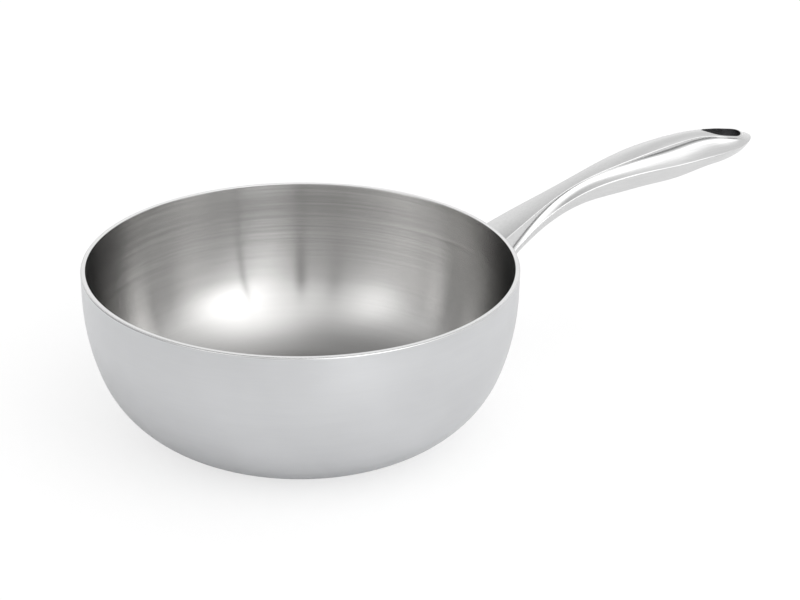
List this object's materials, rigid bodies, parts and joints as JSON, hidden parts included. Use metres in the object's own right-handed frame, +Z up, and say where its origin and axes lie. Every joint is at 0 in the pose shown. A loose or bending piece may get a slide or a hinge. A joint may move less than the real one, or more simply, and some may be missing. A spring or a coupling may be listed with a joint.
{
  "type": "saucier pan",
  "caption": "Round-bottomed saucier pan of clad stainless steel with one long welded handle that ends in a hanging hole.",
  "frame": {"origin": "middle of the base's flat underside, on the bowl's axis", "axes": "+Z up out of the bowl's mouth, +X along the handle away from the bowl, +Y to the left of the handle"},
  "size_m": [0.4205, 0.24, 0.1282],
  "materials": {
    "outer_skin": "satin brushed round the bowl",
    "aluminium_core": "plain",
    "cooking_skin": "satin brushed round the bowl",
    "handle": "satin along its length",
    "handle_weld": "ground smooth"
  },
  "bodies": {
    "root": {"outer_skin": "outer_skin", "aluminium_core": "aluminium_core", "cooking_skin": "cooking_skin", "handle": "handle", "handle_weld": "handle_weld"}
  },
  "joints": []
}
